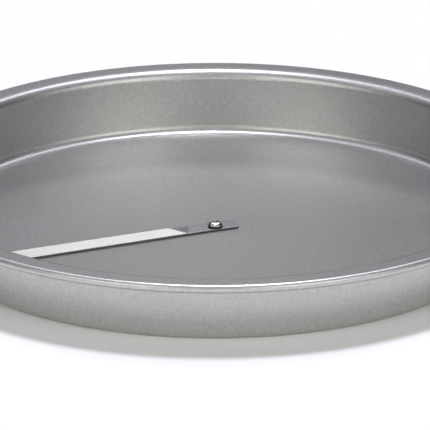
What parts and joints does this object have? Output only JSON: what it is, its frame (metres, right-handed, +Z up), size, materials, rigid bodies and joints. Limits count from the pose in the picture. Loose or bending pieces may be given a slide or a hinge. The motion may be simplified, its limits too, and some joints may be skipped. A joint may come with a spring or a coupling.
{
  "type": "butter cake pan",
  "caption": "Shallow round baking pan of coated steel sheet with a flat rolled rim, and a riveted release blade that turns round the base to cut the cake free.",
  "frame": {"origin": "on the pan's axis, in the plane of the table that the base rests on", "axes": "+Z up along the pan's axis; -Y towards the viewer of the picture; the blade lies at 202.2 degrees from +X"},
  "size_m": [0.24, 0.24, 0.0259],
  "materials": {
    "coated_sheet": "satin silver-grey metallic non-stick coat",
    "bright_steel": "polished bright steel strip",
    "rivet_steel": "smooth bright domed head",
    "plain_steel": "plain drawn and stamped steel"
  },
  "bodies": {
    "pan": {"pan_shell": "coated_sheet", "rim_wire": "plain_steel", "pivot_rivet": "rivet_steel", "rivet_washer": "plain_steel"},
    "blade": {"release_blade": "bright_steel"}
  },
  "joints": [
    {"name": "blade_turn", "type": "hinge", "parent": "pan", "child": "blade", "pos_m": [0, 0, 0.0025], "axis": [0, 0, 1], "continuous": true}
  ]
}
